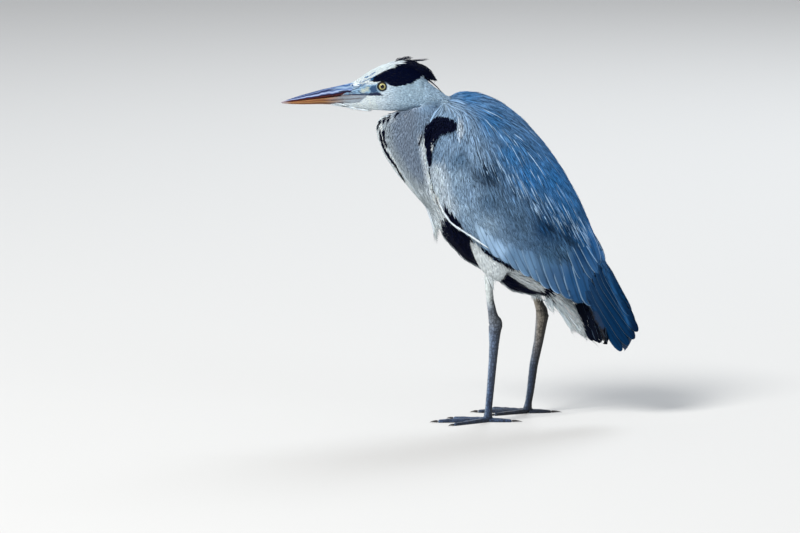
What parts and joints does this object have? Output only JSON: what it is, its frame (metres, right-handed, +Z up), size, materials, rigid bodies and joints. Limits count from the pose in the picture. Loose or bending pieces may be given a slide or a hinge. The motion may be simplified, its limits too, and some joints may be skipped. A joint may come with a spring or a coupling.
{
  "type": "grey heron",
  "caption": "Life-size still model of a standing grey heron with its neck folded, in a resting side pose.",
  "frame": {"origin": "on the floor, under the middle of the bird's length and width", "axes": "+Z up, the bird faces -X, its left side faces -Y"},
  "size_m": [0.5704, 0.1694, 0.5775],
  "materials": {
    "white_feathers": "soft, matt feathers",
    "pale_grey_feathers": "soft, matt feathers",
    "neck_feathers": "soft, matt feathers with fine streaks",
    "blue_grey_feathers": "smooth feathers with silvery plumes",
    "slate_feathers": "smooth, stiff flight feathers",
    "black_feathers": "smooth blue-black feathers",
    "bill_upper_horn": "satin horn",
    "bill_lower_horn": "satin horn",
    "leg_skin": "scaly skin",
    "claw_horn": "satin horn",
    "eye": "wet and glossy"
  },
  "bodies": {
    "root": {"head": "white_feathers", "bill_upper": "bill_upper_horn", "bill_lower": "bill_lower_horn", "eye_left": "eye", "eye_right": "eye", "crest": "black_feathers", "neck_upper": "white_feathers", "neck_lower": "neck_feathers", "breast_plumes": "white_feathers", "trunk": "black_feathers", "tail": "slate_feathers", "vent_feathers": "white_feathers", "shoulder_feathers_left": "blue_grey_feathers", "wing_coverts_left": "pale_grey_feathers", "flight_feathers_left": "slate_feathers", "primaries_left": "slate_feathers", "thigh_left": "white_feathers", "shin_left": "leg_skin", "shank_left": "leg_skin", "toe_inner_left": "leg_skin", "claw_inner_left": "claw_horn", "toe_middle_left": "leg_skin", "claw_middle_left": "claw_horn", "toe_outer_left": "leg_skin", "claw_outer_left": "claw_horn", "toe_hind_left": "leg_skin", "claw_hind_left": "claw_horn", "shoulder_feathers_right": "blue_grey_feathers", "wing_coverts_right": "pale_grey_feathers", "flight_feathers_right": "slate_feathers", "primaries_right": "slate_feathers", "thigh_right": "white_feathers", "shin_right": "leg_skin", "shank_right": "leg_skin", "toe_inner_right": "leg_skin", "claw_inner_right": "claw_horn", "toe_middle_right": "leg_skin", "claw_middle_right": "claw_horn", "toe_outer_right": "leg_skin", "claw_outer_right": "claw_horn", "toe_hind_right": "leg_skin", "claw_hind_right": "claw_horn"}
  },
  "joints": []
}
